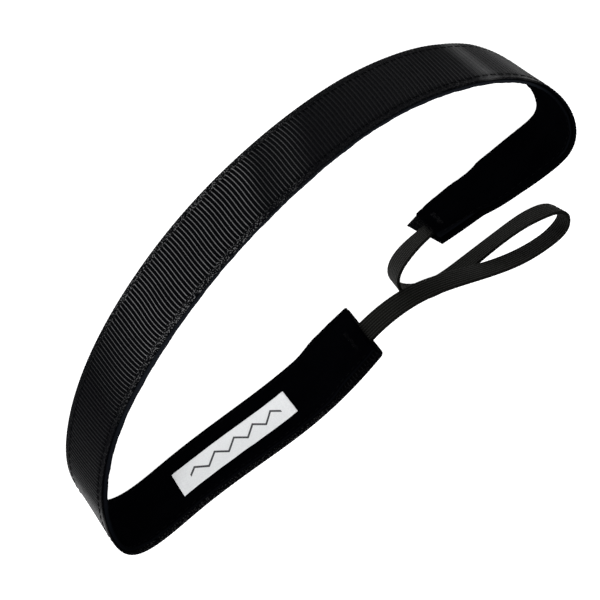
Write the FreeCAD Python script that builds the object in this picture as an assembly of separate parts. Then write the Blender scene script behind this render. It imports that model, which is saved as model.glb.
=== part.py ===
import FreeCAD, Part
import math
import os

# A grosgrain headband that stands on its lower edge. Millimetres, +Z up.
# The crown faces -Y, and the elastic closes the band behind it, on the +Y side.

os.makedirs("parts", exist_ok=True)
doc = FreeCAD.newDocument("headband")

SIZES = {
    "band_width": 25.4,
    "ribbon_thick": 0.6,
    "velvet_width": 22.8,
    "velvet_thick": 1.1,
    "velvet_inset": 1.0,
    "layer_gap": 0.04,
    "elastic_width": 9.5,
    "elastic_thick": 1.1,
    "rubber_width": 8.3,
    "rubber_thick": 0.44,
    "tuck_play": 0.25,
    "tuck_length": 12.0,
    "tuck_ramp": 10.0,
    "tuck_height_a": 9.6,
    "tuck_height_b": 9.8,
    "label_start": 30.0,
    "label_length": 40.0,
    "label_width": 10.3,
    "label_thick": 0.35,
    "label_height": 8.6,
    "thread_thick": 0.3,
    "seam_inset": 2.4,
    "tack_inset": 4.0,
    "tack_width": 1.2,
}

sheet = doc.addObject("Spreadsheet::Sheet", "Sizes")
for row, (name, value) in enumerate(SIZES.items(), 1):
    sheet.set(f"A{row}", name)
    sheet.set(f"B{row}", str(value))
    sheet.setAlias(f"B{row}", name)
doc.recompute()


def size(name):
    return float(sheet.get(name))


# The lower edge of the band from end A to end B, x and y, and how far the upper edge leans from it.
BAND_STATIONS = [
    (-4.0, 21.5, 0.5, -2.0),
    (21.5, 21.5, 0.0, 0.0),
    (65.5, 16.0, 0.0, -0.5),
    (87.0, 9.5, 0.0, 0.5),
    (86.0, -4.0, -0.5, 1.5),
    (77.0, -17.0, -0.5, 1.0),
    (31.0, -41.5, 0.5, 1.5),
    (-18.5, -47.0, -0.5, 1.0),
    (-69.5, -31.5, 1.0, -1.5),
    (-85.0, -8.0, -1.5, -2.0),
    (-83.5, 14.0, 2.5, -3.0),
    (-72.5, 14.5, 2.0, -2.5),
    (-57.0, 14.0, 1.5, -4.5),
    (-36.5, 14.0, 0.0, -9.5),
]

# The free elastic from end A to end B: x, y and z of its lower edge, and its lean.
ELASTIC_STATIONS = [
    (-22.0, 21.0, 10.5, -0.5, -1.0),
    (-36.0, 29.5, 10.6, -1.5, -1.0),
    (-44.0, 36.0, 9.6, -1.5, -1.5),
    (-60.0, 46.0, 6.2, -1.5, -2.5),
    (-66.0, 47.5, 4.9, -2.0, -3.0),
    (-70.0, 46.0, 4.1, -0.5, -4.0),
    (-69.5, 43.5, 2.3, -0.5, -3.0),
    (-65.5, 41.0, 0.8, 0.0, -2.5),
    (-54.5, 38.5, 0.4, -0.5, -3.0),
    (-38.0, 36.5, 0.2, -0.5, -2.5),
    (-25.5, 33.0, 0.1, -1.0, -1.0),
    (-20.5, 27.0, 0.1, 0.0, 0.0),
    (-20.0, 22.5, 0.5, 0.5, 0.0),
    (-26.5, 12.5, 4.9, 2.5, -1.5),
]


PANEL_LENGTH = 12.0
PANEL_SPANS = 8


class Strap:
    """A flat strap on its edge. `along` is measured on its lower edge, `up` across its width and
    `deep` from its outer face towards the head, all in millimetres."""

    def __init__(self, stations, width):
        self.width = width
        lower = [FreeCAD.Vector(*station[:3]) for station in stations]
        upper = []
        for point, (lean_x, lean_y) in zip(lower, [station[3:] for station in stations]):
            rise = math.sqrt(width ** 2 - lean_x ** 2 - lean_y ** 2)
            upper.append(point + FreeCAD.Vector(lean_x, lean_y, rise))
        marks = [0.0]
        for before, after in zip(lower, lower[1:]):
            marks.append(marks[-1] + before.distanceToPoint(after))
        self.length = marks[-1]
        self.lower = Part.BSplineCurve()
        self.lower.interpolate(Points=lower, Parameters=marks)
        self.upper = Part.BSplineCurve()
        self.upper.interpolate(Points=upper, Parameters=marks)

    def at(self, along, up, deep):
        low = self.lower.value(along)
        rise = (self.upper.value(along) - low).normalize()
        forward = FreeCAD.Vector(*self.lower.tangent(along)[0])
        inward = forward.cross(FreeCAD.Vector(0, 0, 1)).normalize()
        return low + rise * up + inward * deep

    def solid(self, start, end, corners):
        """The solid between two places along the strap. Each corner of its section is a height, and
        a depth that may change along the strap. Its long faces are divided into panels."""
        panels = math.ceil((end - start) / PANEL_LENGTH)
        count = panels * PANEL_SPANS
        places = [start + (end - start) * step / count for step in range(count + 1)]
        rails = []
        for up, depth in corners:
            rail = Part.BSplineCurve()
            rail.interpolate(Points=[self.at(along, up, depth(along)) for along in places], Parameters=places)
            rails.append(rail)
        faces = []
        for first in range(0, count, PANEL_SPANS):
            edges = []
            for rail in rails:
                piece = rail.copy()
                piece.segment(places[first], places[first + PANEL_SPANS])
                edges.append(piece.toShape())
            faces += [side_face(edges[i - 1], edges[i]) for i in range(len(edges))]
        for along in (start, end):
            ring = [self.at(along, up, depth(along)) for up, depth in corners]
            faces.append(Part.Face(Part.makePolygon(ring + ring[:1])))
        shell = Part.makeShell(faces)
        shell.sewShape()
        solid = Part.makeSolid(shell)
        if solid.Volume < 0:
            solid.reverse()
        return solid


def side_face(first, second):
    """The face between two edges that run along a strap, flat where both lie on the ground."""
    if first.BoundBox.ZMax < 1e-6 and second.BoundBox.ZMax < 1e-6:
        starts, finishes = [(first.Vertexes[i].Point, second.Vertexes[i].Point) for i in (0, -1)]
        ring = [first, Part.makeLine(*finishes), second, Part.makeLine(*starts)]
        return Part.Face(Part.Wire(ring))
    return Part.makeRuledSurface(first, second, 1)


def section(low, high, outer, inner):
    """The four corners of a plain section between two heights and two depths."""
    return [(low, outer), (high, outer), (high, inner), (low, inner)]


def level(depth):
    return lambda along: depth


def add_feature(label, shape):
    feature = doc.addObject("Part::Feature", label)
    feature.Label = label
    feature.Shape = shape
    feature.Placement = FreeCAD.Placement()
    return feature


band = Strap([(x, y, 0.0, lean_x, lean_y) for x, y, lean_x, lean_y in BAND_STATIONS], size("band_width"))
gap = size("layer_gap")
tucked = size("ribbon_thick") + size("tuck_play") + size("elastic_thick") / 2


def tuck_rise(along):
    """How far the lining stands off the ribbon, to leave room for the tucked elastic ends."""
    from_end = min(along, band.length - along)
    share = (from_end - size("tuck_length")) / size("tuck_ramp")
    share = min(max(share, 0.0), 1.0)
    return (size("elastic_thick") + 2 * size("tuck_play")) * (0.5 + 0.5 * math.cos(math.pi * share))


def lining_outer(along):
    return size("ribbon_thick") + gap + tuck_rise(along)


def lining_inner(along):
    return lining_outer(along) + size("velvet_thick")


def on_lining(depth):
    return lambda along: lining_inner(along) + depth


# Ribbon and lining.
add_feature(
    "grosgrain_ribbon",
    band.solid(0.0, band.length, section(0.0, size("band_width"), level(0.0), level(size("ribbon_thick")))),
)
lining_low = (size("band_width") - size("velvet_width")) / 2
lining_high = lining_low + size("velvet_width")
lining_start = size("velvet_inset")
lining_end = band.length - size("velvet_inset")
add_feature(
    "velvet_lining",
    band.solid(lining_start, lining_end, section(lining_low, lining_high, lining_outer, lining_inner)),
)

# Woven label, sewn on the lining near end A.
label_section = section(
    size("label_height"),
    size("label_height") + size("label_width"),
    on_lining(gap),
    on_lining(gap + size("label_thick")),
)
label_end = size("label_start") + size("label_length")
add_feature("woven_label", band.solid(size("label_start"), label_end, label_section))

# Two lockstitched edge seams: the needle thread lies on the ribbon, the bobbin thread on the lining.
thread = size("thread_thick")
seam_heights = {
    "lower": size("seam_inset"),
    "upper": size("band_width") - size("seam_inset") - thread,
}
for name, height in seam_heights.items():
    needle = section(height, height + thread, level(-gap - thread), level(-gap))
    bobbin = section(height, height + thread, on_lining(gap), on_lining(gap + thread))
    add_feature(f"{name}_seam_needle_thread", band.solid(lining_start + 1.0, lining_end - 1.0, needle))
    add_feature(f"{name}_seam_bobbin_thread", band.solid(lining_start + 1.0, lining_end - 1.0, bobbin))


# Elastic, with its two ends tucked between the ribbon and the lining.
def tuck_station(along, height):
    low = band.at(along, height, tucked)
    lean = band.at(along, height + size("elastic_width"), tucked) - low
    return (low.x, low.y, low.z, lean.x, lean.y)


tuck = size("tuck_length") - 1.0
tuck_steps = [tuck, tuck / 2, 0.0]
elastic_stations = (
    [tuck_station(step, size("tuck_height_a")) for step in tuck_steps]
    + ELASTIC_STATIONS
    + [tuck_station(band.length - step, size("tuck_height_b")) for step in reversed(tuck_steps)]
)
elastic = Strap(elastic_stations, size("elastic_width"))


def elastic_section(width, thick):
    low = (size("elastic_width") - width) / 2
    return section(low, low + width, level(-thick / 2), level(thick / 2))


braid = elastic_section(size("elastic_width"), size("elastic_thick"))
channel = elastic_section(size("rubber_width") + 2 * gap, size("rubber_thick") + 2 * gap)
rubber = elastic_section(size("rubber_width"), size("rubber_thick"))
sleeve = elastic.solid(0.0, elastic.length, braid)
add_feature("elastic_braid", sleeve.cut(elastic.solid(0.0, elastic.length, channel)).Solids[0])
add_feature("elastic_rubber_core", elastic.solid(0.0, elastic.length, rubber))

# A row of tacking stitches holds each elastic end, on the lining side.
tacks = {
    "end_a_tack_thread": (size("tack_inset"), size("tuck_height_a")),
    "end_b_tack_thread": (band.length - size("tack_inset") - size("tack_width"), size("tuck_height_b")),
}
for name, (along, height) in tacks.items():
    tack = section(height, height + size("elastic_width"), on_lining(gap), on_lining(gap + thread))
    add_feature(name, band.solid(along, along + size("tack_width"), tack))

doc.recompute()
for obj in doc.Objects:
    assert not {"Invalid", "Error"} & set(obj.State), (obj.Label, obj.State)
    if hasattr(obj, "Shape"):
        assert not obj.Shape.isNull() and obj.Shape.isValid(), obj.Label
        obj.Shape.exportStep(os.path.join("parts", obj.Label + ".step"))
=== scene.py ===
import math

import bpy
import numpy as np
from mathutils import Matrix


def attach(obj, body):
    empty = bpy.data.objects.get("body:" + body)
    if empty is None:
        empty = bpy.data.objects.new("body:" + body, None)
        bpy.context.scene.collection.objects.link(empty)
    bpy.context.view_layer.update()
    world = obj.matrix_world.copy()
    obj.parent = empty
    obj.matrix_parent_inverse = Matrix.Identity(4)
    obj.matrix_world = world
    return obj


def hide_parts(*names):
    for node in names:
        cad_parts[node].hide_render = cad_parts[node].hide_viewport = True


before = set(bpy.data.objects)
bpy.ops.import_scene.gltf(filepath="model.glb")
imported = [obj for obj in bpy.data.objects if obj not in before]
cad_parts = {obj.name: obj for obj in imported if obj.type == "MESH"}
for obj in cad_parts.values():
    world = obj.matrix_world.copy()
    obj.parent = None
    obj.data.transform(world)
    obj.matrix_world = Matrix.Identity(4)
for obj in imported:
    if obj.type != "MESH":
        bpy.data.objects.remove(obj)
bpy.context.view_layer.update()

# A grosgrain headband with a velvet lining, standing on its lower edge. The band and the elastic
# are straps: `along` runs down their length from end A to end B, `up` across their width, and
# `deep` from their outer face towards the head. Everything is in metres.

MM = 0.001
BAND_WIDTH = 25.4 * MM
RIBBON_THICK = 0.6 * MM
RIB_PITCH = 1.15 * MM
RIB_HEIGHT = 0.16 * MM
RIB_SELVEDGE = 1.9 * MM
SEAM_INSET = 2.55 * MM
VELVET_WIDTH = 22.8 * MM
VELVET_THICK = 1.1 * MM
VELVET_INSET = 1.0 * MM
VELVET_LOW = (BAND_WIDTH - VELVET_WIDTH) / 2
LAYER_GAP = 0.04 * MM
ELASTIC_WIDTH = 9.5 * MM
ELASTIC_THICK = 1.1 * MM
ELASTIC_RIBS = 8
# The elastic's ends are tucked between the ribbon and the lining. The lining stands off the ribbon
# for the tuck's length, and comes back to it over the ramp.
TUCK_PLAY = 0.25 * MM
TUCK_LENGTH = 12.0 * MM
TUCK_RAMP = 10.0 * MM
ELASTIC_TUCK = TUCK_LENGTH - 1.0 * MM
TUCK_HEIGHT_A = 9.6 * MM
TUCK_HEIGHT_B = 9.8 * MM
LABEL_START = 30.0 * MM
LABEL_LENGTH = 40.0 * MM
LABEL_WIDTH = 10.3 * MM
LABEL_THICK = 0.35 * MM
LABEL_HEIGHT = 8.6 * MM
ZIGZAG_HEIGHT = 3.4 * MM
ZIGZAG_LINE = 0.5 * MM
ZIGZAG_MARGIN = 4 * MM

# The lower edge of the band: x, y, and how far the upper edge leans from it, in millimetres.
BAND_STATIONS = [
    (-4.0, 21.5, 0.5, -2.0),
    (21.5, 21.5, 0.0, 0.0),
    (65.5, 16.0, 0.0, -0.5),
    (87.0, 9.5, 0.0, 0.5),
    (86.0, -4.0, -0.5, 1.5),
    (77.0, -17.0, -0.5, 1.0),
    (31.0, -41.5, 0.5, 1.5),
    (-18.5, -47.0, -0.5, 1.0),
    (-69.5, -31.5, 1.0, -1.5),
    (-85.0, -8.0, -1.5, -2.0),
    (-83.5, 14.0, 2.5, -3.0),
    (-72.5, 14.5, 2.0, -2.5),
    (-57.0, 14.0, 1.5, -4.5),
    (-36.5, 14.0, 0.0, -9.5),
]

# The free elastic: x, y and z of its lower edge, and its lean, in millimetres.
ELASTIC_STATIONS = [
    (-22.0, 21.0, 10.5, -0.5, -1.0),
    (-36.0, 29.5, 10.6, -1.5, -1.0),
    (-44.0, 36.0, 9.6, -1.5, -1.5),
    (-60.0, 46.0, 6.2, -1.5, -2.5),
    (-66.0, 47.5, 4.9, -2.0, -3.0),
    (-70.0, 46.0, 4.1, -0.5, -4.0),
    (-69.5, 43.5, 2.3, -0.5, -3.0),
    (-65.5, 41.0, 0.8, 0.0, -2.5),
    (-54.5, 38.5, 0.4, -0.5, -3.0),
    (-38.0, 36.5, 0.2, -0.5, -2.5),
    (-25.5, 33.0, 0.1, -1.0, -1.0),
    (-20.5, 27.0, 0.1, 0.0, 0.0),
    (-20.0, 22.5, 0.5, 0.5, 0.0),
    (-26.5, 12.5, 4.9, 2.5, -1.5),
]

# The tables below give a value at each distance from end A, both in millimetres where the value is
# a length. First how strongly the painted highlights on the rib crests show, how glossy the cloth
# between them is, how light the painted highlight bands are on the folds where the ribs flatten into
# satin, and how light the velvet's selvedge is.
PAINTED_CREST_HIGHLIGHT = [
    (0, 0.06), (20, 0.1), (30, 0.3), (86, 0.3), (94, 0.1), (122, 0.06), (144, 0.06), (152, 0.25),
    (160, 0.6), (168, 1.0), (211, 1.0), (217, 0.2), (226, 0.4), (233, 0.05), (262, 0.06), (280, 0.1),
    (300, 0.1), (320, 0.02),
]
SATIN_GLOSS = [
    (90, 0.6), (98, 0.6), (104, 1.3), (111, 0.8), (118, 0.28), (150, 0.35), (205, 0.4), (225, 1.0),
    (262, 1.0), (272, 0.6), (300, 0.5), (320, 0.1),
]
# Painted highlight bands on the folds at the two bends.
PAINTED_FOLD_HIGHLIGHT = [
    (101, 0.0), (107, 0.2), (112, 0.0), (281, 0.0), (285, 0.17), (288, 0.02), (293, 0.02), (296.5, 0.08),
    (300, 0.0),
]
SELVEDGE_LIGHT = [(0, 0.1), (95, 0.1), (112, 0.25), (135, 0.5), (160, 1.0), (296, 1.0), (306, 0.2)]
# How far the middle of the ribs lags towards end A, how far their upper ends lead and their lower
# ends lag, how far they wave, and how much they are worn down.
RIB_SAG = [(90, 0.0), (105, 1.1), (150, 1.3), (185, 0.5), (215, 0.0)]
RIB_SLANT = [(90, 0.0), (105, 1.0), (150, 1.4), (185, 0.5), (215, 0.0)]
RIB_WAVE = [(130, 0.0), (155, 0.22), (200, 0.3), (235, 0.22), (260, 0.0)]
RIB_WEAR = [(88, 0.0), (98, 0.08), (128, 0.08), (150, 0.0)]
# How far the lining's upper edge is raised, and how far the ribbon's lower edge splays outwards.
PILE_LIFT = [(88, 0.0), (100, 2.0), (160, 2.1), (196, 1.0), (250, 1.0), (275, 1.5), (292, 1.4), (312, 0.0)]
SPLAY = [(95, 0.0), (106, 0.28), (250, 0.28), (265, 0.05), (282, 0.1), (292, 0.6), (304, 0.6), (316, 0.0)]
# By the distance from end B: how far the upper edge is spread or, where it is negative, drawn in,
# and how far the lower edge is lifted towards the head.
END_SPREAD = [(0.0, 2.5), (15.2, -1.3), (28.0, -1.2), (45.0, 0.0)]
END_LIFT = [(6.0, 0.0), (13.0, -0.5), (18.0, 0.0), (24.0, 0.75), (32.0, 0.45), (46.0, 0.0)]


# ---------------------------------------------------------------- straps

class Curve:
    """A smooth cubic curve through points, with even curvature where its spans meet."""

    def __init__(self, marks, points):
        self.marks = marks
        self.points = points
        steps = np.diff(marks)
        chords = np.diff(points, axis=0) / steps[:, None]
        matrix = np.eye(len(marks))
        slopes = np.zeros_like(points)
        slopes[0] = np.polyfit(marks[:4] - marks[0], points[:4], 3)[2]
        slopes[-1] = np.polyfit(marks[-4:] - marks[-1], points[-4:], 3)[2]
        for i in range(1, len(marks) - 1):
            matrix[i, i - 1 : i + 2] = steps[i], 2 * (steps[i - 1] + steps[i]), steps[i - 1]
            slopes[i] = 3 * (steps[i] * chords[i - 1] + steps[i - 1] * chords[i])
        self.slopes = np.linalg.solve(matrix, slopes)

    def place_and_slope(self, along):
        span = np.clip(np.searchsorted(self.marks, along, side="right") - 1, 0, len(self.marks) - 2)
        step = (self.marks[span + 1] - self.marks[span])[..., None]
        t = (along - self.marks[span])[..., None] / step
        start, end = self.points[span], self.points[span + 1]
        leaving, arriving = self.slopes[span] * step, self.slopes[span + 1] * step
        square = 3 * (end - start) - 2 * leaving - arriving
        cube = 2 * (start - end) + leaving + arriving
        place = start + t * (leaving + t * (square + t * cube))
        slope = (leaving + t * (2 * square + 3 * t * cube)) / step
        return place, slope


def unit(vectors):
    return vectors / np.linalg.norm(vectors, axis=-1, keepdims=True)


class Strap:
    """A flat strap on its edge, given by stations of x, y, z and the two leans."""

    def __init__(self, stations, width):
        stations = np.array(stations)
        low = stations[:, :3]
        lean = stations[:, 3:]
        rise = np.sqrt(width**2 - (lean**2).sum(1, keepdims=True))
        self.marks = np.concatenate([[0.0], np.cumsum(np.linalg.norm(np.diff(low, axis=0), axis=1))])
        self.length = self.marks[-1]
        self.lower = Curve(self.marks, low)
        self.upper = Curve(self.marks, low + np.hstack([lean, rise]))

    def at(self, along, up, deep):
        """Points of the strap, for numbers or arrays that fit each other."""
        along, up, deep = np.broadcast_arrays(along, up, deep)
        low, forward = self.lower.place_and_slope(along)
        high, _ = self.upper.place_and_slope(along)
        inward = unit(np.cross(forward, (0.0, 0.0, 1.0)))
        return low + unit(high - low) * up[..., None] + inward * deep[..., None]


band = Strap([(x * MM, y * MM, 0.0, a * MM, b * MM) for x, y, a, b in BAND_STATIONS], BAND_WIDTH)


def tuck_station(along, height):
    """The tucked elastic, half way between the ribbon and the lining."""
    deep = RIBBON_THICK + TUCK_PLAY + ELASTIC_THICK / 2
    low = band.at(along, height, deep)
    lean = band.at(along, height + ELASTIC_WIDTH, deep) - low
    return (*low, *lean[:2])


def elastic_strap():
    steps = (ELASTIC_TUCK, ELASTIC_TUCK / 2, 0.0)
    stations = [tuck_station(step, TUCK_HEIGHT_A) for step in steps]
    stations += [tuple(value * MM for value in station) for station in ELASTIC_STATIONS]
    stations += [tuck_station(band.length - step, TUCK_HEIGHT_B) for step in reversed(steps)]
    return Strap(stations, ELASTIC_WIDTH)


elastic = elastic_strap()


# ---------------------------------------------------------------- shapes

THREAD_SIDES = 6


def ease(value, low, high):
    """A share that goes smoothly from 0 at low to 1 at high, and stays there beyond them."""
    share = np.clip((value - low) / (high - low), 0.0, 1.0)
    return share * share * (3 - 2 * share)


def to_nearer_end(place, length):
    """The distance to the nearer end of a length, or the nearer edge of a width."""
    return np.minimum(place, length - place)


def by_place(stations, places):
    """Values that follow stations of a place and a value in millimetres."""
    marks, values = np.array(stations).T * MM
    return np.interp(places, marks, values)


def ripple(along, up, wave, seed):
    """Soft unevenness between -1 and 1, the same on every run."""
    rng = np.random.default_rng(seed)
    total = 0.0
    for _ in range(7):
        stretch, slant, start = rng.uniform(0.6, 1.7), rng.uniform(-0.8, 0.8), rng.uniform(0, 2 * math.pi)
        total = total + np.sin(2 * math.pi * (stretch * along + slant * up) / wave + start)
    return total / 4


def rounded(distance, radius):
    """How far a rounded edge has fallen at a distance from it, from the radius down to nothing."""
    share = 1 - np.clip(distance / radius, 0.0, 1.0)
    return radius * (1 - np.sqrt(1 - share**2))


def groove(up, centre, half_width):
    """A share that is 1 at the centre and dies away on both sides of it."""
    return np.exp(-(((up - centre) / half_width) ** 2))


def mirrored(half, width):
    """Heights across a width: the lower half's list, in millimetres, and its mirror."""
    half = np.array(half) * MM
    return np.concatenate([half, width - half[::-1]])


def section(front, back):
    """Heights round a section, up its front and down its back, and which of them are at the back."""
    up = np.concatenate([front, back[::-1]])
    return up, np.arange(len(up)) >= len(front)


def tuck_rise(along):
    """How far the lining stands off the ribbon, to leave room for the tucked elastic ends."""
    share = np.clip((to_nearer_end(along, band.length) - TUCK_LENGTH) / TUCK_RAMP, 0.0, 1.0)
    return (ELASTIC_THICK + 2 * TUCK_PLAY) * (0.5 + 0.5 * np.cos(math.pi * share))


def lining_face(along):
    """The depth of the lining's face towards the head."""
    return RIBBON_THICK + LAYER_GAP + tuck_rise(along) + VELVET_THICK


def add_object(name, data):
    added = bpy.data.objects.new(name, data)
    bpy.context.scene.collection.objects.link(added)
    return added


def make_piece(name, points, faces, cloth, material, node=None):
    """A mesh piece that rides on the part. Its cloth attribute holds each point's flat place."""
    mesh = bpy.data.meshes.new(name)
    mesh.from_pydata(points.reshape(-1, 3).tolist(), [], faces)
    mesh.shade_smooth()
    attribute = mesh.attributes.new("cloth", "FLOAT_VECTOR", "POINT")
    attribute.data.foreach_set("vector", cloth.astype(np.float32).ravel())
    mesh.materials.append(material)
    piece = add_object(name, mesh)
    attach(piece, "root")
    if node:
        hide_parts(node)
    return piece


def ring_faces(rings, around, first=0):
    """Quads between neighbouring rings of points, and a face on each end."""
    faces = []
    for ring in range(rings - 1):
        here = first + ring * around
        for i in range(around):
            following = (i + 1) % around
            faces.append((here + i, here + following, here + around + following, here + around + i))
    last = first + (rings - 1) * around
    faces.append(tuple(range(first + around - 1, first - 1, -1)))
    faces.append(tuple(range(last, last + around)))
    return faces


def strip_piece(name, strap, along, up, deep, flat_along, material, node):
    """A closed strip. along, up and deep are grids of places by section points."""
    points = strap.at(along, up, deep)
    cloth = np.stack(np.broadcast_arrays(flat_along, up, deep), axis=-1)
    faces = ring_faces(*points.shape[:2])
    return make_piece(name, points, faces, cloth, material, node)


def thread_points(strap, along, up, deep, radius):
    """Rings round a thread that follows a line on a strap. The arrays are threads by points."""
    centre = strap.at(along, up, deep)
    forward = unit(np.gradient(centre, axis=1))
    outward = unit(centre - strap.at(along, up, deep + 1 * MM))
    sideways = unit(np.cross(forward, outward))
    outward = np.cross(sideways, forward)
    turn = np.arange(THREAD_SIDES)[:, None] * 2 * math.pi / THREAD_SIDES
    rings = np.cos(turn) * outward[..., None, :] + np.sin(turn) * sideways[..., None, :]
    return centre[..., None, :] + rings * radius[..., None, None]


def thread_piece(name, strap, along, up, deep, radius, material, node=None):
    """Many short threads in one piece: stitches, or loose fibres."""
    points = thread_points(strap, along, up, deep, radius)
    threads, steps = along.shape
    faces = []
    for thread in range(threads):
        faces += ring_faces(steps, THREAD_SIDES, thread * steps * THREAD_SIDES)
    run = np.broadcast_to(along[..., None], points.shape[:3])
    around = np.broadcast_to(np.arange(THREAD_SIDES) / THREAD_SIDES, points.shape[:3])
    cloth = np.stack([run, around * MM, np.zeros_like(run)], axis=-1)
    return make_piece(name, points, faces, cloth, material, node)


# ---------------------------------------------------------------- materials

# How narrow the painted highlight lines on the rib crests are, how glossy the crests are, how far the
# painted highlight's place along the band slants across the width, and how glossy the cloth between is.
CREST_SHARPNESS = 16.0
CREST_GLOSS = 0.15
PAINTED_HIGHLIGHT_SLANT = 0.35
SATIN_LEVEL = 0.008


class Shade:
    """A node material whose pattern follows the cloth attribute."""

    def __init__(self, name, **surface):
        self.material = bpy.data.materials.new(name)
        self.material.use_nodes = True
        self.nodes = self.material.node_tree.nodes
        self.links = self.material.node_tree.links
        self.shader = self.nodes["Principled BSDF"]
        for socket, value in surface.items():
            self.shader.inputs[socket.replace("_", " ")].default_value = value
        attribute = self.nodes.new("ShaderNodeAttribute")
        attribute.attribute_name = "cloth"
        parts = self.nodes.new("ShaderNodeSeparateXYZ")
        self.links.new(attribute.outputs["Vector"], parts.inputs["Vector"])
        self.flat = attribute.outputs["Vector"]
        self.along, self.up = parts.outputs[:2]

    def math(self, operation, *values):
        node = self.nodes.new("ShaderNodeMath")
        node.operation = operation
        for socket, value in zip(node.inputs, values):
            if isinstance(value, bpy.types.NodeSocket):
                self.links.new(value, socket)
            else:
                socket.default_value = value
        return node.outputs[0]

    def wave(self, length, pitch):
        """A cosine ridge from 0 to 1 that repeats at each pitch."""
        turned = self.math("COSINE", self.math("MULTIPLY", length, 2 * math.pi / pitch))
        return self.math("MULTIPLY_ADD", turned, -0.5, 0.5)

    def noise(self, size, detail, stretch=(1.0, 1.0, 1.0)):
        mapping = self.nodes.new("ShaderNodeMapping")
        mapping.inputs["Scale"].default_value = stretch
        self.links.new(self.flat, mapping.inputs["Vector"])
        node = self.nodes.new("ShaderNodeTexNoise")
        node.inputs["Scale"].default_value = 1 / size
        node.inputs["Detail"].default_value = detail
        self.links.new(mapping.outputs["Vector"], node.inputs["Vector"])
        return node.outputs["Fac"]

    def between(self, share, low, high):
        """A number that goes from low to high as share goes from 0 to 1."""
        return self.math("MULTIPLY_ADD", share, high - low, low)

    def ramp(self, value, low, high):
        """A share that goes from 0 at low to 1 at high, and stays there beyond them."""
        node = self.nodes.new("ShaderNodeMapRange")
        self.links.new(value, node.inputs["Value"])
        node.inputs["From Min"].default_value = low
        node.inputs["From Max"].default_value = high
        return node.outputs["Result"]

    def profile(self, length, stations):
        """A share that follows stations of a place in millimetres and a value."""
        node = self.nodes.new("ShaderNodeValToRGB")
        stops = node.color_ramp.elements
        while len(stops) < len(stations):
            stops.new(1.0)
        for stop, (place, value) in zip(stops, stations):
            stop.position = place * MM / band.length
            stop.color = (value, value, value, 1.0)
        self.links.new(self.math("DIVIDE", length, band.length), node.inputs["Fac"])
        return node.outputs["Color"]

    def colour(self, share, dark, light):
        """A colour that goes from dark to light as share goes from 0 to 1."""
        node = self.nodes.new("ShaderNodeMix")
        node.data_type = "RGBA"
        if isinstance(dark, bpy.types.NodeSocket):
            self.links.new(dark, node.inputs["A"])
        else:
            node.inputs["A"].default_value = (*dark, 1.0)
        node.inputs["B"].default_value = (*light, 1.0)
        self.links.new(share, node.inputs["Factor"])
        return node.outputs["Result"]

    def use(self, socket, value):
        self.links.new(value, self.shader.inputs[socket])

    def bump(self, height, distance, strength):
        node = self.nodes.new("ShaderNodeBump")
        node.inputs["Distance"].default_value = distance
        node.inputs["Strength"].default_value = strength
        self.links.new(height, node.inputs["Height"])
        self.use("Normal", node.outputs["Normal"])


def grosgrain():
    """Cross ribs with satin crests that end in small loops, painted highlights on both, and a mottled
    selvedge outside them.
    """
    shade = Shade("grosgrain", Specular_Tint=(0.88, 0.92, 1.0, 1.0))
    from_edge = shade.math("MINIMUM", shade.up, shade.math("SUBTRACT", BAND_WIDTH, shade.up))
    inside = shade.ramp(from_edge, RIB_SELVEDGE, RIB_SELVEDGE + 0.4 * MM)
    loop = shade.math("MULTIPLY", inside, shade.ramp(from_edge, 3.0 * MM, 2.4 * MM))
    crest = shade.math("POWER", shade.wave(shade.along, RIB_PITCH), CREST_SHARPNESS)
    patch = shade.noise(6 * MM, 3.0)
    fleck = shade.noise(0.38 * MM, 0.0, (1.0, 0.7, 1.0))
    yarn = shade.wave(shade.up, 0.34 * MM)
    # Where along the band the painted crest highlights show, with their place slanted across the width.
    above_middle = shade.math("SUBTRACT", shade.up, BAND_WIDTH / 2)
    slanted = shade.math("MULTIPLY_ADD", above_middle, PAINTED_HIGHLIGHT_SLANT, shade.along)
    painted_highlight_strength = shade.profile(slanted, PAINTED_CREST_HIGHLIGHT)
    # Painted highlight lines on the rib crests, brighter over the loops, uneven in patches and left off the
    # selvedge.
    crest_highlight_lines = shade.math("MULTIPLY", crest, shade.between(loop, 1.0, 1.5))
    crest_highlight_lines = shade.math("MULTIPLY", crest_highlight_lines, shade.between(patch, 0.6, 1.4))
    crest_highlight_lines = shade.math("MULTIPLY", crest_highlight_lines, inside)
    mottle = shade.math("MULTIPLY", shade.ramp(fleck, 0.55, 0.7), shade.between(inside, 0.6, 0.0))
    # Painted highlight bands across the folds at the bends, uneven in patches.
    painted_fold_highlight = shade.math("MULTIPLY", shade.profile(shade.along, PAINTED_FOLD_HIGHLIGHT), shade.between(patch, 0.5, 1.5))
    # The base colour: the painted crest highlights and the selvedge's mottle, both scaled by the painted
    # highlight strength along the band, and the painted highlight bands on the folds.
    lit = shade.math("MULTIPLY_ADD", shade.math("ADD", crest_highlight_lines, mottle), painted_highlight_strength, painted_fold_highlight)
    shade.use("Base Color", shade.colour(lit, (0.001, 0.0011, 0.0016), (0.122, 0.122, 0.124)))
    gloss = shade.math("MULTIPLY", shade.profile(shade.along, SATIN_GLOSS), SATIN_LEVEL)
    shade.use("Specular IOR Level", shade.math("MULTIPLY_ADD", lit, CREST_GLOSS, gloss))
    shade.use("Roughness", shade.between(patch, 0.30, 0.42))
    shade.bump(shade.math("ADD", yarn, shade.math("MULTIPLY", fleck, 0.8)), 0.07 * MM, 1.0)
    return shade.material


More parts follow.
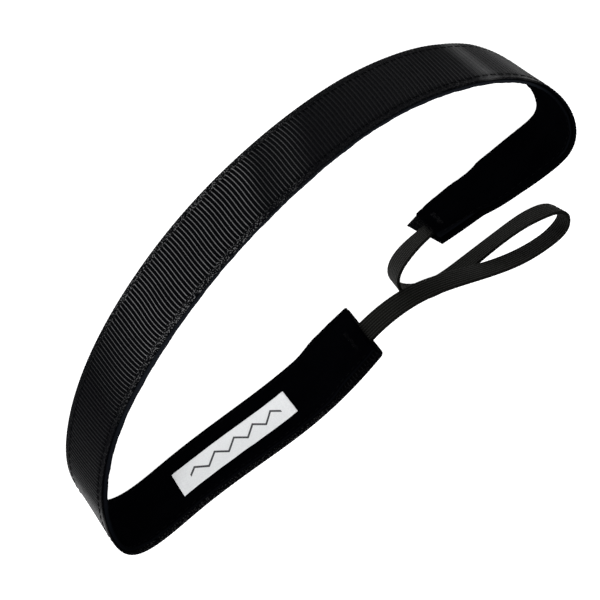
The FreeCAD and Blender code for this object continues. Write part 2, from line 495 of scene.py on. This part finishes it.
def velvet():
    """A short dense pile that swallows light, with a smooth woven selvedge along both edges."""
    shade = Shade("velvet", Specular_IOR_Level=0.0, Roughness=1.0)
    stroke = shade.noise(7 * MM, 3.0, (0.5, 1.0, 1.0))
    pile = shade.noise(0.25 * MM, 2.0)
    from_low = shade.math("SUBTRACT", shade.up, VELVET_LOW)
    from_high = shade.math("SUBTRACT", VELVET_LOW + VELVET_WIDTH, shade.up)
    selvedge = shade.ramp(shade.math("MINIMUM", from_low, from_high), 0.3 * MM, 0.12 * MM)
    share = shade.math("MULTIPLY", stroke, pile)
    black = shade.colour(share, (0.0001, 0.0001, 0.0003), (0.0018, 0.002, 0.0028))
    selvedge = shade.math("MULTIPLY", selvedge, shade.profile(shade.along, SELVEDGE_LIGHT))
    shade.use("Base Color", shade.colour(selvedge, black, (0.007, 0.008, 0.0105)))
    shade.bump(pile, 0.15 * MM, 0.8)
    return shade.material


def braided():
    """Lengthwise ribs of plaited yarn: chevrons that meet on each rib's ridge, with painted shade in the
    grooves.
    """
    shade = Shade("braided_elastic", Specular_IOR_Level=0.03)
    rib = ELASTIC_WIDTH / ELASTIC_RIBS
    side = shade.math("PINGPONG", shade.up, rib / 2)
    plait = shade.wave(shade.math("ADD", shade.along, side), 0.7 * MM)
    painted_groove_shade = shade.wave(shade.up, rib)
    # The colour is painted shade: darker in the grooves between the ribs and in the dips of the plait.
    share = shade.math("MULTIPLY", shade.between(plait, 0.4, 1.0), painted_groove_shade)
    shade.use("Base Color", shade.colour(share, (0.002, 0.0021, 0.0018), (0.0115, 0.0117, 0.01)))
    shade.use("Roughness", shade.between(plait, 0.7, 0.5))
    shade.bump(plait, 0.07 * MM, 0.8)
    return shade.material


def woven_white():
    """A tight white damask with a plain grey zigzag woven along its middle."""
    shade = Shade("woven_white", Roughness=0.75, Specular_IOR_Level=0.2, Sheen_Weight=0.1)
    start = shade.math("SUBTRACT", shade.along, LABEL_START)
    middle = LABEL_HEIGHT + LABEL_WIDTH / 2
    zigzag = shade.math("PINGPONG", start, ZIGZAG_HEIGHT)
    above = shade.math("SUBTRACT", shade.up, middle - ZIGZAG_HEIGHT / 2)
    away = shade.math("ABSOLUTE", shade.math("SUBTRACT", above, zigzag))
    line = shade.math("LESS_THAN", away, ZIGZAG_LINE)
    from_middle = shade.math("ABSOLUTE", shade.math("SUBTRACT", start, LABEL_LENGTH / 2))
    inside = shade.math("LESS_THAN", from_middle, LABEL_LENGTH / 2 - ZIGZAG_MARGIN)
    line = shade.math("MULTIPLY", line, inside)
    weft = shade.wave(shade.along, 0.22 * MM)
    warp = shade.wave(shade.up, 0.3 * MM)
    weave = shade.math("ABSOLUTE", shade.math("SUBTRACT", weft, warp))
    thread = shade.noise(0.4 * MM, 1.0)
    white = shade.colour(thread, (0.6, 0.61, 0.62), (0.76, 0.77, 0.78))
    shade.use("Base Color", shade.colour(line, white, (0.035, 0.035, 0.04)))
    shade.bump(weave, 0.05 * MM, 0.5)
    return shade.material


def sewing_thread():
    """Black two-ply polyester thread, with painted shade between the plies."""
    shade = Shade("sewing_thread", Specular_IOR_Level=0.01)
    twist = shade.wave(shade.math("ADD", shade.along, shade.math("MULTIPLY", shade.up, 0.5)), 0.5 * MM)
    # The colour is darker between the plies of the twist: painted shade.
    shade.use("Base Color", shade.colour(twist, (0.0008, 0.0008, 0.001), (0.005, 0.005, 0.0055)))
    shade.use("Roughness", shade.between(twist, 0.6, 0.35))
    shade.bump(twist, 0.05 * MM, 0.7)
    return shade.material


def rubber():
    """Matt natural rubber with a trace of talc."""
    shade = Shade("rubber", Specular_IOR_Level=0.3)
    talc = shade.noise(0.6 * MM, 3.0)
    shade.use("Base Color", shade.colour(talc, (0.02, 0.018, 0.016), (0.09, 0.085, 0.075)))
    shade.use("Roughness", shade.between(talc, 0.5, 0.85))
    shade.bump(talc, 0.03 * MM, 0.5)
    return shade.material


def studio_floor():
    """White acrylic, lit softly from below so that it stays even."""
    shade = Shade("studio_floor", Roughness=0.9, Specular_IOR_Level=0.0, Emission_Strength=1.0)
    grain = shade.nodes.new("ShaderNodeTexNoise")
    grain.inputs["Scale"].default_value = 40.0
    grey = shade.colour(grain.outputs["Fac"], (0.38, 0.38, 0.38), (0.42, 0.42, 0.42))
    shade.use("Base Color", grey)
    shade.shader.inputs["Emission Color"].default_value = (1.0, 1.0, 1.0, 1.0)
    return shade.material


GROSGRAIN = grosgrain()
VELVET = velvet()
BRAIDED = braided()
WOVEN_WHITE = woven_white()
SEWING_THREAD = sewing_thread()
RUBBER = rubber()


# ---------------------------------------------------------------- ribbon and lining

# A rib's height from one rib to the next, and the share of it that is left on the selvedges.
RIB_PROFILE = np.array([0.0, 0.55, 0.9, 1.0, 0.9, 0.55])
SELVEDGE_RELIEF = 0.35
RIB_BOW = 0.55 * MM
PUFF = 0.12 * MM
SEAM_PULL_WIDTH = 0.5 * MM
PILE_CRUSH = 0.1 * MM
LINING_STEP = 0.5 * MM

# How the cut ends differ from straight ones. Both layers are drawn out at end A, the lining more at
# its lower corner, and the ribbon's upper corner there is rounded off. At end B the ribbon's lower
# corner is drawn out to a tongue. Each REACH is how far along the band this is felt.
END_REACH = 14 * MM
END_A_EXTRA = 0.4 * MM
LINING_CORNER = 1.1 * MM
TONGUE = 2.8 * MM
CORNER = 1.4 * MM
CORNER_REACH = 4 * MM
CUT_REACH = 4 * MM

# Heights on the lower half of a section, in millimetres: the ribbon's two faces, then the lining's.
RIBBON_OUTER_UPS = [0.0, 0.12, 0.4, 0.9, 1.5, 2.0, 2.3, 2.55, 2.8, 3.1, 3.8, 5.0, 6.8, 9.4, 12.0]
RIBBON_INNER_UPS = [0.12, 0.7, 1.6, 3.0, 7.5]
VELVET_FACE_UPS = [0.0, 0.15, 0.4, 0.8, 1.15, 1.5, 2.2, 3.2, 4.6, 6.4, 8.4, 10.4]
VELVET_BACK_UPS = [0.15, 1.0, 6.0]


def end_spread(along, up):
    """How far the upper part of the band is spread or drawn in near end B."""
    return by_place(END_SPREAD, band.length - along) * ease(up, 17 * MM, BAND_WIDTH)


def end_lift(along, up):
    """How far the lower part of the band is lifted towards the head near end B."""
    return by_place(END_LIFT, band.length - along) * ease(up, 12 * MM, 2 * MM)


def ribbon_lean(along, up):
    """How far the ribbon leans from its plain place towards the head.

    Its lower edge is splayed outwards, and its edges are drawn in to the lining near end B.
    """
    near_edge = ease(to_nearer_end(up, BAND_WIDTH), 5.5 * MM, 1 * MM)
    near_b = ease(along, band.length / 2, band.length / 2 + 20 * MM)
    drawn_in = 0.9 * (LAYER_GAP + tuck_rise(along)) * near_edge * near_b * (1 - 0.7 * up / BAND_WIDTH)
    splay = by_place(SPLAY, along) * (1 - up / BAND_WIDTH) ** 2
    return drawn_in + end_lift(along, up) - splay


def seam_dip(up):
    """A share that is 1 on both seams, where the stitches pull the cloth in, and 0 away from them."""
    lower = groove(up, SEAM_INSET, SEAM_PULL_WIDTH)
    return lower + groove(up, BAND_WIDTH - SEAM_INSET, SEAM_PULL_WIDTH)


def ribbon_outer(along, up):
    """The outer face's depth without its ribs: puffed between the seams and drawn in along them."""
    between_seams = np.clip((up - SEAM_INSET) / (BAND_WIDTH - 2 * SEAM_INSET), 0.0, 1.0)
    puff = np.sin(math.pi * between_seams) ** 0.5 * ripple(along, up, 38 * MM, seed=3)
    return PUFF * (seam_dip(up) - puff - 1)


def on_ribbon(along, up):
    """The height and depth of a place on the ribbon's outer face, without its ribs."""
    return up + end_spread(along, up), ribbon_outer(along, up) + ribbon_lean(along, up)


def rib_bow(along):
    """How far the middle of a rib leads its ends, towards end B."""
    share = along / band.length
    sway = RIB_BOW * (1 + 0.5 * ripple(along, 0.0, 60 * MM, seed=17))
    return sway * ease(share, 0, 1 / 12) * ease(share, 1, 11 / 12)


def rib_place(flat_along, up):
    """Where the ribs run: bowed, slanted and wavy, and following the shapes of the two ends."""
    across = 2 * up / BAND_WIDTH - 1
    sag = by_place(RIB_SAG, flat_along) - rib_bow(flat_along)
    wave = by_place(RIB_WAVE, flat_along) * (1 + 0.6 * ripple(flat_along, up, 24 * MM, seed=23))
    along = flat_along - sag * (1 - across**2) + by_place(RIB_SLANT, flat_along) * across
    along = along - wave * np.sin(math.pi * across)
    tongue = TONGUE * (1 - up / BAND_WIDTH) * ease(flat_along, band.length - END_REACH, band.length)
    corner = rounded(BAND_WIDTH - up, CORNER) * ease(flat_along, CORNER_REACH, 0)
    return along + tongue + corner - END_A_EXTRA * ease(flat_along, END_REACH, 0)


def make_ribbon():
    """The ribbon, with a rib's profile at each rib pitch and flatter ribs on its selvedges."""
    up, inner = section(mirrored(RIBBON_OUTER_UPS, BAND_WIDTH), mirrored(RIBBON_INNER_UPS, BAND_WIDTH))
    ribs = round(band.length / RIB_PITCH)
    flat_along = np.linspace(0.0, band.length, ribs * len(RIB_PROFILE) + 1)[:, None]
    from_edge = to_nearer_end(up, BAND_WIDTH)
    inside = ease(from_edge, RIB_SELVEDGE, RIB_SELVEDGE + 0.8 * MM)
    relief = np.append(np.tile(RIB_PROFILE, ribs), 0.0)[:, None]
    relief = relief * (RIB_HEIGHT - by_place(RIB_WEAR, flat_along))
    relief = relief * (SELVEDGE_RELIEF + (1 - SELVEDGE_RELIEF) * inside)

    along = rib_place(flat_along, up)
    edge = rounded(from_edge, 0.1 * MM)
    raised, outer_deep = on_ribbon(along, up)
    outer_deep = outer_deep + RIB_HEIGHT / 2 - relief + edge
    inner_deep = RIBBON_THICK - RIB_HEIGHT + relief * 0.8 - edge + ribbon_lean(along, up)
    deep = np.where(inner, inner_deep, outer_deep)
    return strip_piece(
        "ribbon", band, along, raised, deep, flat_along, GROSGRAIN, "grosgrain_ribbon"
    )


def velvet_relief(along, up):
    """How far the pile stands above its plain face."""
    crushed = PILE_CRUSH * (ripple(along, up, 9 * MM, seed=11) + 0.5 * ripple(along, up, 2.3 * MM, seed=12))
    return crushed - 0.3 * MM * seam_dip(up)


def on_lining(along, up):
    """The height and depth of a place on the lining's face."""
    near_b = ease(along, band.length - 21 * MM, band.length - 13 * MM)
    lift = (by_place(PILE_LIFT, along) + 0.6 * MM * near_b) * ease(up, 15 * MM, 24 * MM)
    deep = lining_face(along) + velvet_relief(along, up) + end_lift(along, up)
    return up + lift + end_spread(along, up), deep


def make_lining():
    """The lining, with a rounded pile, ragged cut ends and its lower corner at end A drawn out."""
    face_up = VELVET_LOW + mirrored(VELVET_FACE_UPS, VELVET_WIDTH)
    back_up = VELVET_LOW + mirrored(VELVET_BACK_UPS, VELVET_WIDTH)
    up, back = section(face_up, back_up)
    start, end = VELVET_INSET, band.length - VELVET_INSET
    flat_along = np.linspace(start, end, round((end - start) / LINING_STEP) + 1)[:, None]
    near_cut = ease(flat_along, end - CUT_REACH, end) - ease(flat_along, start + CUT_REACH, start)
    ragged = 0.35 * MM * ripple(up, flat_along, 3.5 * MM, seed=5) * near_cut
    drawn_out = END_A_EXTRA + LINING_CORNER * (1 - up / BAND_WIDTH) ** 2
    along = flat_along + ragged - drawn_out * ease(flat_along, END_REACH, 0)

    edge = rounded(to_nearer_end(up - VELVET_LOW, VELVET_WIDTH), 0.55 * MM)
    edge = edge + rounded(to_nearer_end(flat_along - start, end - start), 0.7 * MM)
    lifted, face_deep = on_lining(along, up)
    back_deep = lining_face(along) + end_lift(along, up) - VELVET_THICK + np.minimum(edge, 0.2 * MM)
    deep = np.where(back, back_deep, np.maximum(face_deep - edge, back_deep + 0.2 * MM))
    return strip_piece("lining", band, along, lifted, deep, flat_along, VELVET, "velvet_lining")


# ---------------------------------------------------------------- label

def make_label():
    """A cut length of woven tape with its two ends folded under."""
    up, back = section(np.linspace(0.0, LABEL_WIDTH, 23), np.linspace(0.0, LABEL_WIDTH, 7))
    flat_along = np.linspace(0.0, LABEL_LENGTH, 121)[:, None]
    from_end = to_nearer_end(flat_along, LABEL_LENGTH)
    edge = rounded(to_nearer_end(up, LABEL_WIDTH), 0.12 * MM) + rounded(from_end, 0.16 * MM)
    fold = 0.12 * MM * ease(from_end, 2.6 * MM, 1.8 * MM)
    uneven = 0.06 * MM * ripple(flat_along, up, 12 * MM, seed=21)
    along = LABEL_START + flat_along
    under = lining_face(along) + LAYER_GAP + uneven + 0.1 * MM
    deep = np.where(back, under, under + LABEL_THICK - 0.16 * MM + fold - edge)
    return strip_piece(
        "label", band, along, LABEL_HEIGHT + up, deep, along, WOVEN_WHITE, "woven_label"
    )


# ---------------------------------------------------------------- elastic

BRAID_STEPS = 6
BRAID_STEP_LENGTH = 0.4 * MM
PLAIT_LENGTH = 1.6 * MM
STRAND_RADIUS = 0.24 * MM


def make_braid():
    """A flat plaited sleeve with a rounded rib over each rubber strand, the same on both faces."""
    count = ELASTIC_RIBS * BRAID_STEPS
    face_up = np.linspace(0.0, ELASTIC_WIDTH, count + 1)
    up, back = section(face_up, face_up[1:-1])
    side = np.where(back, 1.0, -1.0)
    rib = np.abs(np.sin(math.pi * up * ELASTIC_RIBS / ELASTIC_WIDTH)) ** 0.7
    half = (0.4 + 0.2 * rib) * MM - rounded(to_nearer_end(up, ELASTIC_WIDTH), 0.38 * MM)
    flat_along = np.linspace(0.0, elastic.length, round(elastic.length / BRAID_STEP_LENGTH) + 1)[:, None]
    plait = 0.025 * MM * np.sin(2 * math.pi * flat_along / PLAIT_LENGTH + 3 * up / MM)
    deep = side * (half + plait * rib)
    strip_piece("elastic", elastic, flat_along, up, deep, flat_along, BRAIDED, "elastic_braid")


def make_strands():
    """The rubber strands inside the sleeve, one under each rib."""
    up = (np.arange(ELASTIC_RIBS) + 0.5)[:, None] * ELASTIC_WIDTH / ELASTIC_RIBS
    along = np.linspace(0.2 * MM, elastic.length - 0.2 * MM, 240)[None, :]
    up, along = np.broadcast_arrays(up, along)
    middle = np.zeros(along.shape)
    radius = np.full(along.shape, STRAND_RADIUS)
    thread_piece(
        "rubber_strands", elastic, along, up, middle, radius, RUBBER, "elastic_rubber_core"
    )


# ---------------------------------------------------------------- stitching

STITCH_PITCH = 2.3 * MM
STITCH_LENGTH = 0.86 * STITCH_PITCH
STITCH_SEED = 21
THREAD_RADIUS = 0.14 * MM
THREAD_SWELL = np.array([0.7, 0.95, 1, 1, 1, 0.95, 0.7])
SEAM_END = VELVET_INSET + 1.2 * MM
TACK_INSET = 4.6 * MM
TACK_STITCHES = 22
TACK_SWING = 1.8 * MM
TACK_RADIUS = 0.12 * MM
FIBRES = 90
FIBRE_SEED = 7
FIBRE_RADIUS = 0.035 * MM


def seam_stitches(side, thread, height, surface, direction, sunk, phase):
    """A row of short stitches that dive into the cloth at both ends.

    surface gives their place on the cloth, direction is -1 on the outer face and 1 towards the head,
    sunk is how deep they lie in thread radii, and phase shifts them along by a share of their pitch.
    """
    count = int((band.length - 2 * SEAM_END) / STITCH_PITCH)
    middle = SEAM_END + (np.arange(count) + 0.5 + phase) * STITCH_PITCH
    run = np.linspace(-0.5, 0.5, len(THREAD_SWELL))
    along = middle[:, None] + run * STITCH_LENGTH
    slant = np.random.default_rng(STITCH_SEED).normal(0, 0.05 * MM, count)[:, None]
    up, deep = surface(along, height + slant + run * 0.12 * MM)
    arch = 1 - (2 * run) ** 4
    deep = deep + direction * THREAD_RADIUS * (1.3 * arch - sunk)
    radius = np.broadcast_to(THREAD_RADIUS * THREAD_SWELL, along.shape)
    name, node = f"{side}_{thread}_stitches", f"{side}_seam_{thread}_thread"
    thread_piece(name, band, along, up, deep, radius, SEWING_THREAD, node)


def make_seams():
    for side, height in (("lower", SEAM_INSET), ("upper", BAND_WIDTH - SEAM_INSET)):
        seam_stitches(side, "needle", height, on_ribbon, -1, 0.7, 0.0)
        seam_stitches(side, "bobbin", height, on_lining, 1, 1.7, 0.5)


def make_tack(end, along, height):
    """A zigzag of stitches across the elastic, on the lining."""
    run = np.linspace(0.0, 1.0, 7)
    stitch = np.arange(TACK_STITCHES)[:, None]
    swing = np.where(stitch % 2, -1.0, 1.0) * (run - 0.5) * TACK_SWING
    up = height + (stitch + run) * ELASTIC_WIDTH / TACK_STITCHES
    places = along + swing
    up, deep = on_lining(places, up)
    arch = 1 - (2 * run - 1) ** 4
    deep = deep + TACK_RADIUS * arch - 0.2 * MM
    radius = np.broadcast_to(TACK_RADIUS * (0.8 + 0.2 * arch), places.shape)
    name, node = f"end_{end}_tack_stitches", f"end_{end}_tack_thread"
    thread_piece(name, band, places, up, deep, radius, SEWING_THREAD, node)


def make_fibres():
    """Loose fibres at end B, where the cut ribbon and the tuck show."""
    rng = np.random.default_rng(FIBRE_SEED)

    def each(low, high):
        return rng.uniform(low, high, FIBRES)[:, None]

    run = np.linspace(0.0, 1.0, 6)
    length = each(0.8, 2.6) * MM
    aim = each(-1.1, 1.1)
    curl = each(-1.0, 1.0)
    first = band.length - each(0.5, 1.8) * MM
    up = each(3.0, 22.0) * MM + length * run * np.sin(aim + curl * run)
    along = first + length * run * np.cos(aim + curl * run)
    deep = lining_face(first) - 0.3 * MM + each(0.1, 0.7) * MM * np.sin(run * math.pi / 1.4)
    radius = np.broadcast_to(FIBRE_RADIUS * (1 - 0.5 * run), along.shape)
    thread_piece("end_b_fibres", band, along, up, deep, radius, SEWING_THREAD)


# ---------------------------------------------------------------- assembly

ribbon = make_ribbon()
lining = make_lining()
label = make_label()
make_braid()
make_strands()
make_seams()
make_tack("a", TACK_INSET, TUCK_HEIGHT_A)
make_tack("b", band.length - TACK_INSET, TUCK_HEIGHT_B)
make_fibres()


# ---------------------------------------------------------------- studio

def make_floor():
    bpy.ops.mesh.primitive_plane_add(size=6.0, location=(0, 0, 0))
    floor = bpy.context.object
    floor.name = "floor"
    floor.data.materials.append(studio_floor())


def turned(place, right, back):
    """The matrix of a lamp or a camera at a place, from the directions of its right and its back."""
    rise = np.cross(back, right)
    rows = np.column_stack([right, rise, back, place]).tolist()
    return Matrix([*rows, [0, 0, 0, 1]])


def add_softbox(name, place, size, power):
    """A square lamp that faces the origin, under the middle of the band."""
    light = bpy.data.lights.new(name, "AREA")
    light.shape = "SQUARE"
    light.size = size
    light.energy = power
    back = unit(np.array(place))
    across = unit(np.cross((0, 0, 1), back))
    add_object(name, light).matrix_world = turned(place, across, back)


def add_world(brightness):
    world = bpy.data.worlds.new("studio")
    world.use_nodes = True
    background = world.node_tree.nodes["Background"]
    background.inputs["Color"].default_value = (1, 1, 1, 1)
    background.inputs["Strength"].default_value = brightness
    bpy.context.scene.world = world


# The camera looks down on the band from in front. It is rolled so far over that the band's upper edge
# lies towards the lower right.
CAMERA_PLACE = (-18.7 * MM, -337.8 * MM, 389.0 * MM)
CAMERA_RIGHT = (-0.7328, 0.5306, 0.4259)
CAMERA_UP = (-0.6790, -0.5306, -0.5073)
CAMERA_LENS_MM = 108.0
SENSOR_WIDTH_MM = 36.0


def add_camera():
    data = bpy.data.cameras.new("camera")
    data.sensor_width = SENSOR_WIDTH_MM
    data.lens = CAMERA_LENS_MM
    data.clip_start = 0.02
    data.clip_end = 20.0
    right = unit(np.array(CAMERA_RIGHT))
    back = unit(np.cross(right, CAMERA_UP))
    camera = add_object("camera", data)
    camera.matrix_world = turned(CAMERA_PLACE, right, back)
    bpy.context.scene.camera = camera


make_floor()
add_softbox("left_box", (0.55, -0.33, 0.42), 0.25, 5.0)
add_softbox("right_box", (-0.6, -0.25, 0.35), 0.25, 2.5)
add_softbox("top_box", (0.1, 0.3, 0.9), 0.5, 4.0)
add_world(0.3)
add_camera()
bpy.context.scene.view_settings.view_transform = "Standard"
